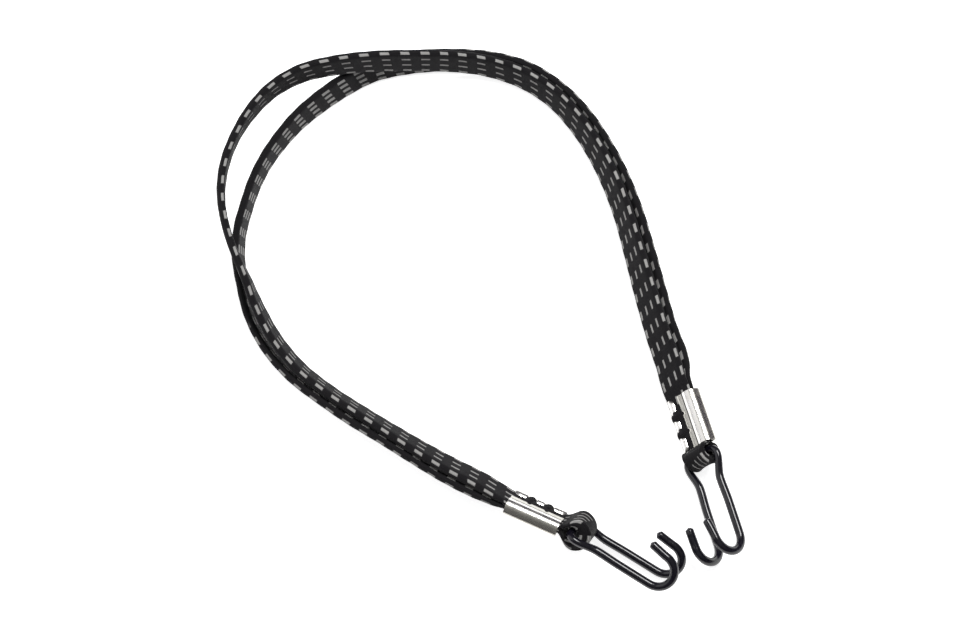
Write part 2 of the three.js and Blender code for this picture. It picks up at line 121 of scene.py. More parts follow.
class End:
    """One end of the cord: where its crossbar lies, and how its clamp, its eye and its hook are turned."""

    def __init__(self, crossbar, hook, clamp, clamp_distance, eye_thickness, eye_slack, tail_angle):
        heading, lean, droop = hook
        self.crossbar = Vector(crossbar) + ORIGIN_SHIFT
        self.clamp = directions(*clamp, 0)
        self.eye = directions(heading, lean, 0)
        self.hook = directions(heading, lean, droop)
        self.clamp_distance = clamp_distance
        self.clamp_mouth = clamp_distance + CLAMP_LENGTH
        self.eye_thickness = eye_thickness
        self.eye_slack = eye_slack
        self.tail_angle = math.radians(tail_angle)

    def at(self, piece, along, across, facing):
        return self.crossbar + piece @ Vector((along, across, facing))


LEFT_END = End((0.0363, -0.0910, 0.0106), hook=(-25.1, -46, 8.9), clamp=(-25.1, -46), clamp_distance=0.0052,
               eye_thickness=0.0052, eye_slack=0.0012, tail_angle=128)
RIGHT_END = End((0.0859, -0.0601, 0.0092), hook=(-78, 50, 6), clamp=(-73.5, 45), clamp_distance=0.0030,
                eye_thickness=0.0042, eye_slack=0.0001, tail_angle=108)


def station(place, across, width, thickness):
    """One place on a band: where it is, which way its width lies, and its size there."""
    return [*place, *across, width, thickness]


def mouth_stations(end, side, direction):
    middle_width = (SQUEEZED_WIDTH + BAND_WIDTH) / 2
    middle_thickness = (SQUEEZED_THICKNESS + BAND_THICKNESS) / 2
    opened = SQUEEZED_OFFSET + (BAND_THICKNESS - SQUEEZED_THICKNESS) / 4
    across = end.clamp.col[1] * direction
    depths = [
        (RUN_INSERTION, SQUEEZED_OFFSET, SQUEEZED_WIDTH, SQUEEZED_THICKNESS),
        (-FIT_GAP, SQUEEZED_OFFSET, SQUEEZED_WIDTH, SQUEEZED_THICKNESS),
        (-OPENING_OUT, opened, middle_width, middle_thickness),
    ]
    return [
        station(end.at(end.clamp, depth - end.clamp_mouth, 0, side * offset), across, width, thickness)
        for depth, offset, width, thickness in depths
    ]


def run_stations(points, side):
    start = mouth_stations(LEFT_END, side, -1)
    finish = mouth_stations(RIGHT_END, side, 1)[::-1]
    places = [Vector(point[:3]) + ORIGIN_SHIFT for point in points]
    route = [Vector(start[-1][:3]), *places, Vector(finish[0][:3])]
    free = []
    for i, point in enumerate(points):
        ahead = (route[i + 2] - route[i]).normalized()
        outward = Vector((0, 0, 1)).cross(ahead).normalized()
        upward = ahead.cross(outward)
        lean = math.radians(point[3])
        across = outward * math.cos(lean) + upward * math.sin(lean)
        free.append(station(places[i], across, BAND_WIDTH, BAND_THICKNESS))
    return start + free + finish


def smooth_stations(stations, step):
    """A smooth line through the stations, with a new station about every step of its length."""
    rows = [Vector(row) for row in stations]
    rows = [rows[0] * 2 - rows[1], *rows, rows[-1] * 2 - rows[-2]]
    gaps = [(Vector(b[:3]) - Vector(a[:3])).length for a, b in zip(rows, rows[1:])]
    result = []
    for i in range(1, len(rows) - 2):
        before, a, b, after = rows[i - 1:i + 3]
        d0, d1, d2 = gaps[i - 1:i + 2]
        leave = ((a - before) / d0 - (b - before) / (d0 + d1) + (b - a) / d1) * d1
        reach = ((b - a) / d1 - (after - a) / (d1 + d2) + (after - b) / d2) * d1
        count = max(1, round(d1 / step))
        for k in range(count):
            t = k / count
            result.append(
                a * (2 * t**3 - 3 * t**2 + 1) + leave * (t**3 - 2 * t**2 + t)
                + b * (3 * t**2 - 2 * t**3) + reach * (t**3 - t**2)
            )
    return result + [rows[-2]]


def band_places(stations):
    """A matrix for each station, scaled to its width and thickness, and its distance along the line."""
    centres = [Vector(row[:3]) for row in stations]
    matrices, distances, travelled = [], [], 0.0
    for i, row in enumerate(stations):
        if i:
            travelled += (centres[i] - centres[i - 1]).length
        ahead = (centres[min(i + 1, len(centres) - 1)] - centres[max(i - 1, 0)]).normalized()
        across = Vector(row[3:6])
        across = (across - ahead * across.dot(ahead)).normalized()
        matrix = Matrix.Identity(4)
        matrix.col[0].xyz = across * (row[6] / BAND_WIDTH)
        matrix.col[1].xyz = ahead.cross(across) * (row[7] / BAND_THICKNESS)
        matrix.col[2].xyz = ahead
        matrix.translation = centres[i]
        matrices.append(matrix)
        distances.append(travelled)
    return matrices, distances


def sweep(name, outline, matrices, distances, front=1):
    """A closed mesh drawn out along the matrices from one outline, with its weave coordinates kept."""
    shape = bmesh.new()
    along = shape.verts.layers.float.new("along")
    across = shape.verts.layers.float.new("across")
    facing = shape.verts.layers.float.new("facing")
    ring = [shape.verts.new((x, y, 0)) for x, y in outline]
    for vert in ring:
        vert[across] = over_the_edge(vert.co.x, vert.co.y) * 1000
        vert[facing] = vert.co.y * front * 1000
    edges = [shape.edges.new((a, b)) for a, b in zip(ring, ring[1:] + ring[:1])]
    first = list(edges)
    bmesh.ops.transform(shape, matrix=matrices[0], verts=ring)
    for i in range(1, len(matrices)):
        drawn = bmesh.ops.extrude_edge_only(shape, edges=edges)["geom"]
        ring = [item for item in drawn if isinstance(item, bmesh.types.BMVert)]
        edges = [item for item in drawn if isinstance(item, bmesh.types.BMEdge)]
        bmesh.ops.transform(shape, matrix=matrices[i] @ matrices[i - 1].inverted(), verts=ring)
        for vert in ring:
            vert[along] = distances[i] * 1000
    bmesh.ops.edgeloop_fill(shape, edges=first)
    bmesh.ops.edgeloop_fill(shape, edges=edges)
    bmesh.ops.recalc_face_normals(shape, faces=shape.faces)
    return finish_mesh(name, shape)


def over_the_edge(x, y):
    """Distance over the band's surface from the middle line of its face to a point of its section."""
    past = max(abs(x) - BAND_FLAT, 0.0)
    turn = math.atan2(past, abs(y))
    return math.copysign(min(abs(x), BAND_FLAT) + BAND_THICKNESS / 2 * turn, x)


def finish_mesh(name, shape):
    for face in shape.faces:
        face.smooth = True
    mesh = bpy.data.meshes.new(name)
    shape.to_mesh(mesh)
    shape.free()
    piece = bpy.data.objects.new(name, mesh)
    bpy.context.scene.collection.objects.link(piece)
    return piece


def band_outline(flat_steps, edge_steps, folds=0.0):
    """Section of the band: two flat faces and round edges, which can be gathered into three folds."""
    outline = []
    for side in (1, -1):
        for i in range(edge_steps + 1):
            angle = math.pi * (i / edge_steps - 0.5)
            radius = BAND_THICKNESS / 2 * (1 - folds + folds * math.cos(6 * angle))
            outline.append((side * (BAND_FLAT + radius * math.cos(angle)), side * radius * math.sin(angle)))
        for i in range(1, flat_steps):
            outline.append((side * BAND_FLAT * (1 - 2 * i / flat_steps), outline[-1][1]))
    return outline


def scalloped(stations):
    """Each repeat of the weave pulls the edges in a little, and no two repeats quite alike."""
    result = []
    travelled = 0.0
    for i, row in enumerate(stations):
        if i:
            travelled += (Vector(row[:3]) - Vector(stations[i - 1][:3])).length
        repeat = travelled / WEAVE_REPEAT
        wobble = noise.noise(Vector((repeat * 0.8, row[7] * 900, 3.1)))
        row = row.copy()
        row[6] *= 1 + 0.010 * math.cos(2 * math.pi * repeat) + 0.010 * wobble
        row[7] *= 1 + 0.025 * math.cos(2 * math.pi * repeat + 0.6)
        result.append(row)
    return result


def new_material(name):
    material = bpy.data.materials.new(name)
    material.use_nodes = True
    tree = material.node_tree
    return material, tree, tree.nodes["Principled BSDF"]


def add_node(tree, kind, inputs=None, **settings):
    """A node with its settings, and its inputs joined to sockets or set to values."""
    node = tree.nodes.new(kind)
    for key, value in settings.items():
        setattr(node, key, value)
    for key, value in (inputs or {}).items():
        if isinstance(value, bpy.types.NodeSocket):
            tree.links.new(value, node.inputs[key])
        else:
            node.inputs[key].default_value = value
    return node


def math_node(tree, operation, *values):
    return add_node(tree, "ShaderNodeMath", dict(enumerate(values)), operation=operation).outputs[0]


def ramp(tree, value, low, high, to_low=0.0, to_high=1.0):
    """A smooth step of a value between two bounds."""
    inputs = {"Value": value, "From Min": low, "From Max": high, "To Min": to_low, "To Max": to_high}
    return add_node(tree, "ShaderNodeMapRange", inputs, interpolation_type="SMOOTHSTEP").outputs["Result"]


def mix_colour(tree, share, first, second):
    node = add_node(tree, "ShaderNodeMix", data_type="RGBA")
    for socket, value in zip((node.inputs[0], node.inputs[6], node.inputs[7]), (share, first, second)):
        if isinstance(value, bpy.types.NodeSocket):
            tree.links.new(value, socket)
        else:
            socket.default_value = value
    return node.outputs[2]


def attribute(tree, name):
    return add_node(tree, "ShaderNodeAttribute", attribute_name=name).outputs["Fac"]


def dash_row_group():
    """One row of dashes: a mask from the place along and across the band."""
    tree = bpy.data.node_groups.new("dash row", "ShaderNodeTree")
    for name in ("Along", "Across", "Centre", "Half Width"):
        tree.interface.new_socket(name, in_out="INPUT", socket_type="NodeSocketFloat")
    tree.interface.new_socket("Mask", in_out="OUTPUT", socket_type="NodeSocketFloat")
    inside = add_node(tree, "NodeGroupInput")
    repeat = math_node(tree, "DIVIDE", inside.outputs["Along"], WEAVE_REPEAT * 1000)
    place = math_node(tree, "FRACT", repeat)
    from_middle = math_node(tree, "ABSOLUTE", math_node(tree, "SUBTRACT", place, 0.5))
    dash = ramp(tree, from_middle, 0.195, 0.250, 1.0, 0.0)
    offset = math_node(tree, "ABSOLUTE", math_node(tree, "SUBTRACT", inside.outputs["Across"],
                                                   inside.outputs["Centre"]))
    edge = math_node(tree, "DIVIDE", offset, inside.outputs["Half Width"])
    row = ramp(tree, edge, 0.65, 1.15, 1.0, 0.0)
    outside = add_node(tree, "NodeGroupOutput")
    tree.links.new(math_node(tree, "MULTIPLY", dash, row), outside.inputs["Mask"])
    return tree


def weave_material(name, front_rows, back_rows, bare=None):
    """Black yarn with fine ribs lengthwise, and rows of grey floats in dashes on each face.

    The front's edge row, its first, can be missing from a bare stretch, in millimetres along the band.
    """
    material, tree, shader = new_material(name)
    row_group = bpy.data.node_groups.get("dash row") or dash_row_group()
    along, across, facing = (attribute(tree, name) for name in ("along", "across", "facing"))
    yarn_place = add_node(tree, "ShaderNodeCombineXYZ", {"X": along, "Y": across, "Z": facing}).outputs[0]
    drift = add_node(tree, "ShaderNodeTexNoise", {"Vector": yarn_place, "Scale": 0.35, "Detail": 1.0})
    drift = math_node(tree, "MULTIPLY_ADD", drift.outputs[0], 0.7, -0.35)
    slanted = math_node(tree, "MULTIPLY_ADD", across, DASH_SLANT, along)
    shifted = math_node(tree, "ADD", slanted, drift)

    def rows(centres):
        mask = 0.0
        for centre, half in centres:
            inputs = {"Along": shifted, "Across": across, "Centre": centre, "Half Width": half}
            row = add_node(tree, "ShaderNodeGroup", node_tree=row_group)
            for key, value in inputs.items():
                if isinstance(value, float):
                    row.inputs[key].default_value = value
                else:
                    tree.links.new(value, row.inputs[key])
            mask = math_node(tree, "MAXIMUM", mask, row.outputs[0])
        return mask

    front = ramp(tree, facing, -0.15, 0.15)
    front_dashes = rows(front_rows)
    if bare:
        begins = ramp(tree, along, bare[0] - 8, bare[0], 1.0, 0.0)
        stops = ramp(tree, along, bare[1], bare[1] + 8)
        edge_row = math_node(tree, "MULTIPLY", rows(front_rows[:1]), math_node(tree, "ADD", begins, stops))
        front_dashes = math_node(tree, "MAXIMUM", edge_row, rows(front_rows[1:]))
    dashes = add_node(tree, "ShaderNodeMix", {0: front, 2: rows(back_rows), 3: front_dashes}).outputs[0]

    ribs = math_node(tree, "SINE", math_node(tree, "MULTIPLY", across, 2 * math.pi / 0.62))
    picks = math_node(tree, "SINE", math_node(tree, "MULTIPLY_ADD", along, 2 * math.pi / 0.55,
                                              math_node(tree, "MULTIPLY", across, math.pi / 0.62)))
    fuzz = add_node(tree, "ShaderNodeTexNoise", {"Vector": yarn_place, "Scale": 4.0, "Detail": 3.0})
    patches = add_node(tree, "ShaderNodeTexNoise", {"Vector": yarn_place, "Scale": 0.22, "Detail": 2.0})
    floats = math_node(tree, "SINE", math_node(tree, "MULTIPLY", across, 2 * math.pi / 0.42))

    black = mix_colour(tree, ramp(tree, fuzz.outputs[0], 0.35, 0.7), (0.0034, 0.0030, 0.0040, 1),
                       (0.0092, 0.0084, 0.0100, 1))
    black = mix_colour(tree, ramp(tree, ribs, -1.0, 1.0, 0.0, 0.4), black, (0.0110, 0.0101, 0.0114, 1))
    grey = mix_colour(tree, ramp(tree, floats, -1.0, 0.6), (0.20, 0.197, 0.190, 1), (0.46, 0.455, 0.445, 1))
    grey = mix_colour(tree, ramp(tree, patches.outputs[0], 0.35, 0.75, 0.0, 0.45), grey, (0.30, 0.29, 0.28, 1))
    tree.links.new(mix_colour(tree, dashes, black, grey), shader.inputs["Base Color"])
    tree.links.new(ramp(tree, fuzz.outputs[0], 0.3, 0.7, 0.72, 0.92), shader.inputs["Roughness"])
    shader.inputs["Specular IOR Level"].default_value = 0.2
    shader.inputs["Sheen Weight"].default_value = 0.05
    shader.inputs["Sheen Roughness"].default_value = 0.4

    ground = math_node(tree, "MULTIPLY_ADD", picks, 0.35, math_node(tree, "MULTIPLY", ribs, 0.5))
    height = math_node(tree, "ADD", math_node(tree, "MULTIPLY_ADD", dashes, 1.1, ground),
                       math_node(tree, "MULTIPLY", fuzz.outputs[0], 0.5))
    bump = add_node(tree, "ShaderNodeBump", {"Height": height, "Strength": 0.55, "Distance": 0.00012})
    tree.links.new(bump.outputs[0], shader.inputs["Normal"])
    return material


# Rows of dashes as middle and half width in millimetres over the surface: one face has a wide row along
# its raised edge and three narrow ones beside it, and the other face has four rows of even bars.
DASH_SLANT = 0.24
WIDE_FACE = [(6.25, 0.68), (2.65, 0.48), (-0.9, 0.48), (-4.45, 0.58)]
EVEN_FACE = [(4.4, 0.8), (1.47, 0.8), (-1.47, 0.8), (-4.4, 0.8)]
UPPER_WEAVE = weave_material("woven band, upper run", WIDE_FACE, EVEN_FACE)
LOWER_WEAVE = weave_material("woven band, lower run", WIDE_FACE, EVEN_FACE, bare=(132, 300))


def lay_run(name, points, side, weave):
    """One run of the band as a free cord."""
    stations = scalloped(smooth_stations(run_stations(points, side), 0.001))
    matrices, distances = band_places(stations)
    run = sweep(name, band_outline(8, 10), matrices, distances, front=side)
    run.data.materials.append(weave)
    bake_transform(run)
    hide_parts(f"{name}_cover")
    return run


lay_run("upper_run", UPPER_RUN, 1, UPPER_WEAVE)
lay_run("lower_run", LOWER_RUN, -1, LOWER_WEAVE)


# Rubber strands
# Square strands cut from natural rubber lie side by side inside the weave and give the band its pull.
# Those of the runs are drawn along them; those of the eyes keep their place.
STRAND_COUNT = 4
STRAND_ROW = 0.0100
STRAND_SPACING = 0.00035
STRAND_HALF_THICKNESS = 0.00085


def rubber_material():
    material, tree, shader = new_material("cut rubber")
    place = add_node(tree, "ShaderNodeTexCoord").outputs["Object"]
    cloud = add_node(tree, "ShaderNodeTexNoise", {"Vector": place, "Scale": 400.0, "Detail": 4.0})
    powder = add_node(tree, "ShaderNodeTexNoise", {"Vector": place, "Scale": 3000.0, "Detail": 2.0})
    colour = mix_colour(tree, cloud.outputs[0], (0.24, 0.17, 0.09, 1), (0.38, 0.29, 0.17, 1))
    tree.links.new(colour, shader.inputs["Base Color"])
    tree.links.new(ramp(tree, powder.outputs[0], 0.3, 0.7, 0.55, 0.85), shader.inputs["Roughness"])
    bump = add_node(tree, "ShaderNodeBump", {"Height": powder.outputs[0], "Strength": 0.3, "Distance": 0.0001})
    tree.links.new(bump.outputs[0], shader.inputs["Normal"])
    return material


RUBBER = rubber_material()


def strand_outline(index):
    pitch = (STRAND_ROW + STRAND_SPACING) / STRAND_COUNT
    middle = (index - (STRAND_COUNT - 1) / 2) * pitch
    half = (pitch - STRAND_SPACING) / 2
    thick = STRAND_HALF_THICKNESS
    return [(middle + half, -thick), (middle + half, thick), (middle - half, thick), (middle - half, -thick)]


for name, points, side in (("upper_run", UPPER_RUN, 1), ("lower_run", LOWER_RUN, -1)):
    matrices, distances = band_places(smooth_stations(run_stations(points, side), 0.004))
    for index in range(STRAND_COUNT):
        strand = sweep(f"{name}_strand_{index + 1}", strand_outline(index), matrices, distances)
        strand.data.materials.append(RUBBER)
        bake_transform(strand)
        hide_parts(f"{name}_rubber_{index + 1}")
for name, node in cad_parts.items():
    if "eye_rubber" in name:
        node.data.materials.clear()
        node.data.materials.append(RUBBER)


# Eyes
# At each end the band goes once round the hook's crossbar, bunched up between the hook's legs,
# and both its tails lie flat in the clamp, where they swell a little through the notches of the seam.
EYE_WIDTH = 0.0108
EYE_CLEARANCE = 0.0001
CROSSBAR_RADIUS = 0.0015
EYE_STEPS = 12
EYE_SWELL_RATE = 3
NOTCH_COUNT = 2
SEAM_SWELL = 0.0005
SEAM_MIDDLE = 0.0015
SEAM_HALF = 0.0022
TUFT_HEIGHT = 0.0009
TUFT_START = 0.0008
TUFT_RISE = 0.0020
TUFT_HALF_LENGTH = 0.0017
WAIST_DEPTH = 0.0007
EYE_FACE = [(5.8, 0.6), (3.0, 0.34), (0.3, 0.34), (-2.4, 0.34)]
EYE_WEAVE = weave_material("woven band, eye", EYE_FACE, EYE_FACE)
PLAIN_WEAVE = weave_material("woven band, black stretch", [], [])


def eye_stations(end, turned):
    inside = end.clamp_mouth - RUN_INSERTION - FIT_GAP
    mouth = end.clamp_distance - FIT_GAP
    tails = [[station(end.at(end.clamp, place, 0, side * SQUEEZED_OFFSET), end.clamp.col[1] * turned,
                      SQUEEZED_WIDTH, SQUEEZED_THICKNESS)
              for place in (-inside, -(inside + mouth) / 2, -mouth - 0.002, -mouth)] for side in (1, -1)]
    loop = []
    radius = CROSSBAR_RADIUS + FIT_GAP + EYE_CLEARANCE + end.eye_thickness / 2
    for i in range(EYE_STEPS + 1):
        share = 1 - 2 * i / EYE_STEPS
        angle = end.tail_angle * share
        swell = min(1, (1 - abs(share)) * EYE_SWELL_RATE)
        place = end.at(end.eye, end.eye_slack + radius * math.cos(angle), 0, radius * math.sin(angle))
        loop.append(station(place, end.eye.col[1] * turned, SQUEEZED_WIDTH + (EYE_WIDTH - SQUEEZED_WIDTH) * swell,
                            SQUEEZED_THICKNESS + (end.eye_thickness - SQUEEZED_THICKNESS) * swell))
    return tails[0] + loop + tails[1][::-1]


def notch_distance(end, along):
    """How far a place along the clamp is from the nearest notch of its seam."""
    notches = [CLAMP_LENGTH * i / (NOTCH_COUNT + 1) - end.clamp_mouth for i in range(1, NOTCH_COUNT + 1)]
    return min(abs(along - notch) for notch in notches)


def raise_tufts(eye, end, turned):
    """Lift the webbing where it swells up through the clamp's seam and most of all through its notches."""
    to_clamp = end.clamp.transposed()
    for vert in eye.data.vertices:
        along, across, facing = to_clamp @ (vert.co - end.crossbar)
        rise = min(1.0, max(0.0, (-turned * across - TUFT_START) / TUFT_RISE))
        lengthways = notch_distance(end, along) / TUFT_HALF_LENGTH
        ragged = 1 + 0.25 * noise.noise(vert.co * 1500)
        swell = SEAM_SWELL * max(0.0, 1 - ((-turned * across - SEAM_MIDDLE) / SEAM_HALF) ** 2)
        lift = max(swell, TUFT_HEIGHT * rise * max(0.0, 1 - lengthways**2)) * ragged
        if along < -end.clamp_distance and facing > SQUEEZED_OFFSET and lift > 0:
            vert.co += end.clamp.col[2] * lift


def draw_in_waist(eye, end, depth):
    """Pull the middle of the loop in towards the crossbar, where the band is bunched tightest."""
    to_eye = end.eye.transposed()
    for vert in eye.data.vertices:
        along, across, facing = to_eye @ (vert.co - end.crossbar)
        outside = math.hypot(along, facing) - CROSSBAR_RADIUS - FIT_GAP - EYE_CLEARANCE
        share = max(0.0, 1 - (2 * across / EYE_WIDTH) ** 2) * min(1.0, max(0.0, outside / end.eye_thickness))
        if along > 0:
            vert.co -= end.eye.col[0] * depth * share


def make_eye(side, end, body, turned, waist, weave_offset):
    stations = smooth_stations(eye_stations(end, turned), 0.0005)
    matrices, distances = band_places(stations)
    shifted = [distance + weave_offset for distance in distances]
    eye = sweep(f"{side}_eye", band_outline(20, 18, 0.07), matrices, shifted, front=turned)
    eye.data.materials.append(EYE_WEAVE)
    eye.data.materials.append(PLAIN_WEAVE)
    tail = (CLAMP_LENGTH - RUN_INSERTION + weave_offset) * 1000
    whole = (distances[-1] + 2 * weave_offset) * 1000
    along = eye.data.attributes["along"].data
    for face in eye.data.polygons:
        place = along[face.vertices[0]].value
        face.material_index = int(place < tail or place > whole - tail)
    raise_tufts(eye, end, turned)
    draw_in_waist(eye, end, waist)
    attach(eye, body)
    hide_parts(f"{side}_eye_cover")
    return eye


make_eye("left", LEFT_END, "strap", -1, waist=0.0, weave_offset=0.0012)
make_eye("right", RIGHT_END, "right_end", 1, waist=WAIST_DEPTH, weave_offset=0.0)


# Clamps
# A strip of bright aluminium sheet rolled round both layers of the band and crimped shut. Its plain edge
# has two nicks; the other edge is cut into tongues that are pressed down into the webbing.
CLAMP_SHEET = 0.00055
CLAMP_HALF_WIDTH = SQUEEZED_WIDTH / 2 + FIT_GAP + CLAMP_SHEET
CLAMP_HALF_THICKNESS = SQUEEZED_THICKNESS + 1.5 * FIT_GAP + CLAMP_SHEET
TOP_CORNER_RADIUS = 0.0026
BACK_CORNER_RADIUS = 0.0012
TOP_FLAT = CLAMP_HALF_WIDTH - TOP_CORNER_RADIUS
BACK_FLAT = CLAMP_HALF_WIDTH - BACK_CORNER_RADIUS
WALL_HEIGHT = 2 * CLAMP_HALF_THICKNESS - TOP_CORNER_RADIUS - BACK_CORNER_RADIUS
WALL_BOTTOM = BACK_FLAT + math.pi / 2 * BACK_CORNER_RADIUS
WALL_TOP = WALL_BOTTOM + WALL_HEIGHT
LOBE_START = WALL_TOP + math.pi / 2 * TOP_CORNER_RADIUS
SLEEVE_HALF = LOBE_START + TOP_FLAT
PLAIN_SIDE_SPREAD = 0.0009
LOBE_WIDTH = 0.0024
LOBE_SAG = 0.0005
CREASE_PLACE = LOBE_START + LOBE_WIDTH
PLAIN_OVERLAP = 0.0006
TONGUE_SHORTFALL = 0.0030


def clamp_material():
    """Rolled aluminium: fine drawing lines along the sleeve, dulled here and there by handling, with painted shade on
    the side walls, a painted darker reflection on the flange and a painted shade line along the crease.
    """
    material, tree, shader = new_material("bright sheet metal")
    along, across = attribute(tree, "along"), attribute(tree, "across")
    place = add_node(tree, "ShaderNodeTexCoord").outputs["Object"]
    lines_place = add_node(tree, "ShaderNodeCombineXYZ",
                           {"X": math_node(tree, "MULTIPLY", along, 0.06), "Y": across, "Z": 0.0}).outputs[0]
    lines = add_node(tree, "ShaderNodeTexNoise", {"Vector": lines_place, "Scale": 5.0, "Detail": 3.0})
    smears = add_node(tree, "ShaderNodeTexNoise", {"Vector": place, "Scale": 220.0, "Detail": 2.0})
    specks = add_node(tree, "ShaderNodeTexNoise", {"Vector": place, "Scale": 1800.0, "Detail": 2.0})
    colour = mix_colour(tree, ramp(tree, smears.outputs[0], 0.35, 0.7), (0.80, 0.79, 0.77, 1),
                        (0.72, 0.705, 0.67, 1))
    colour = mix_colour(tree, ramp(tree, specks.outputs[0], 0.62, 0.75, 0.0, 0.18), colour, (0.45, 0.44, 0.40, 1))
    # Painted shade: the sleeve's side walls are darkened to an olive grey where they lie in shade and reflect the dark
    # room.
    painted_wall_shade = ramp(tree, math_node(tree, "ABSOLUTE", across), WALL_BOTTOM * 1000, LOBE_START * 1000, 0.75, 0.0)
    colour = mix_colour(tree, painted_wall_shade, colour, (0.36, 0.34, 0.29, 1))
    from_crease = math_node(tree, "SUBTRACT", across, CREASE_PLACE * 1000)
    # Painted reflection: beyond the crease the flange is greyer, standing in for the darker things it reflects.
    colour = mix_colour(tree, ramp(tree, from_crease, -0.05, 0.05), colour, (0.50, 0.49, 0.45, 1))
    # Painted shade: a dark line along the crease, where shade falls in the fold.
    painted_crease_shade = ramp(tree, math_node(tree, "ABSOLUTE", from_crease), 0.14, 0.45, 1.0, 0.0)
    colour = mix_colour(tree, painted_crease_shade, colour, (0.03, 0.03, 0.03, 1))
    tree.links.new(colour, shader.inputs["Base Color"])
    shader.inputs["Metallic"].default_value = 1.0
    roughness = math_node(tree, "ADD", ramp(tree, lines.outputs[0], 0.3, 0.7, 0.21, 0.27),
                          ramp(tree, smears.outputs[0], 0.4, 0.75, 0.0, 0.07))
    tree.links.new(roughness, shader.inputs["Roughness"])
    bump = add_node(tree, "ShaderNodeBump", {"Height": lines.outputs[0], "Strength": 0.05, "Distance": 0.0001})
    tree.links.new(bump.outputs[0], shader.inputs["Normal"])
    return material


SHEET_METAL = clamp_material()


def sleeve_point(distance):
    """A point on the sleeve's outline, measured round it from the middle of its back."""
    side = math.copysign(1, distance)
    left = abs(distance)
    if left <= BACK_FLAT:
        return side * left, -CLAMP_HALF_THICKNESS
    if left <= WALL_BOTTOM:
        angle = (left - BACK_FLAT) / BACK_CORNER_RADIUS
        return (side * (BACK_FLAT + BACK_CORNER_RADIUS * math.sin(angle)),
                BACK_CORNER_RADIUS * (1 - math.cos(angle)) - CLAMP_HALF_THICKNESS)
    if left <= WALL_TOP:
        return side * CLAMP_HALF_WIDTH, left - WALL_BOTTOM + BACK_CORNER_RADIUS - CLAMP_HALF_THICKNESS
    if left <= LOBE_START:
        angle = (left - WALL_TOP) / TOP_CORNER_RADIUS
        return (side * (TOP_FLAT + TOP_CORNER_RADIUS * math.cos(angle)),
                CLAMP_HALF_THICKNESS - TOP_CORNER_RADIUS * (1 - math.sin(angle)))
    inward = left - LOBE_START
    return side * (TOP_FLAT - inward), CLAMP_HALF_THICKNESS - LOBE_SAG * min(1.0, inward / LOBE_WIDTH) ** 2


def notch_depth(end, along, half_length):
    """How deep the seam's edge is cut at a place along the clamp, from 0 to 1, in a round-bottomed notch."""
    return max(0.0, 1 - (notch_distance(end, along) / half_length) ** 2)


def make_clamp(side, end, body, turned, tongue_lean):
    shape = bmesh.new()
    along = shape.verts.layers.float.new("along")
    across = shape.verts.layers.float.new("across")
    bmesh.ops.create_grid(shape, x_segments=88, y_segments=96, size=0.5)
    for vert in shape.verts:
        share, round_share = vert.co.x + 0.5, vert.co.y
        place = share * CLAMP_LENGTH - end.clamp_mouth
        plain_edge = SLEEVE_HALF + PLAIN_OVERLAP - 0.0010 * notch_depth(end, place, 0.0009)
        tongue_end = max(0.0, abs(share - 0.5) * 2 - 0.80) / 0.20
        tongue_edge = SLEEVE_HALF - TONGUE_SHORTFALL - 0.0030 * notch_depth(end, place, 0.0022) - 0.0016 * tongue_end**2
        distance = round_share * 2 * (plain_edge if round_share > 0 else tongue_edge)
        x, y = sleeve_point(distance)
        near_edge = abs(distance) - (plain_edge if round_share > 0 else tongue_edge) + 0.0020
        if near_edge > 0:
            y -= (0.0002 if round_share > 0 else 0.0009) * (near_edge / 0.0020) ** 2
        height = (y / CLAMP_HALF_THICKNESS + 1) / 2
        spread = PLAIN_SIDE_SPREAD * (1 - height) if x > 0 else -tongue_lean * height
        x *= 1 + spread / CLAMP_HALF_WIDTH
        vert[along] = share * CLAMP_LENGTH * 1000
        vert[across] = distance * 1000
        vert.co = end.at(end.clamp, place, turned * x, y)
    bmesh.ops.recalc_face_normals(shape, faces=shape.faces)
    middle = end.at(end.clamp, CLAMP_LENGTH / 2 - end.clamp_mouth, 0, 0)
    facing = end.clamp.col[2]
    back = min(shape.faces, key=lambda face: (face.calc_center_median() - middle).dot(facing))
    if back.normal.dot(facing) > 0:
        bmesh.ops.reverse_faces(shape, faces=shape.faces)
    clamp = finish_mesh(f"{side}_clamp_sleeve", shape)
    wall = clamp.modifiers.new("sheet", "SOLIDIFY")
    wall.thickness = CLAMP_SHEET
    wall.offset = -1
    rounded = clamp.modifiers.new("soft edges", "BEVEL")
    rounded.width = 0.00012
    rounded.segments = 2
    clamp.data.materials.append(SHEET_METAL)
    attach(clamp, body)
    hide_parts(f"{side}_clamp")
    return clamp


make_clamp("left", LEFT_END, "strap", -1, tongue_lean=0.0)
make_clamp("right", RIGHT_END, "right_end", 1, tongue_lean=0.0012)


# Hooks
# Each hook is one length of steel wire bent to a crossbar, two legs drawn in to a neck and two prongs,
# then dipped in black plastic, which rounds off its tips, dries with a gloss and is thinnest at the crossbar.
COATED_RADIUS = 0.0017
CROSSBAR_HALF = 0.0083
CROSSBAR_CORNER = 0.003
NECK_HALF = 0.00575
NECK_DISTANCE = 0.0125
PRONG_HALF = 0.0062
PRONG_DISTANCE = 0.022
LEG_LENGTH = 0.0354
BEND_RADIUS = 0.0068
PRONG_RETURN = 0.0062
PRONG_FLARE = 0.001
TIP_REACH = 0.0012
PRONG_DRAW_IN = 0.0012
WIRE_RADIUS = 0.00115


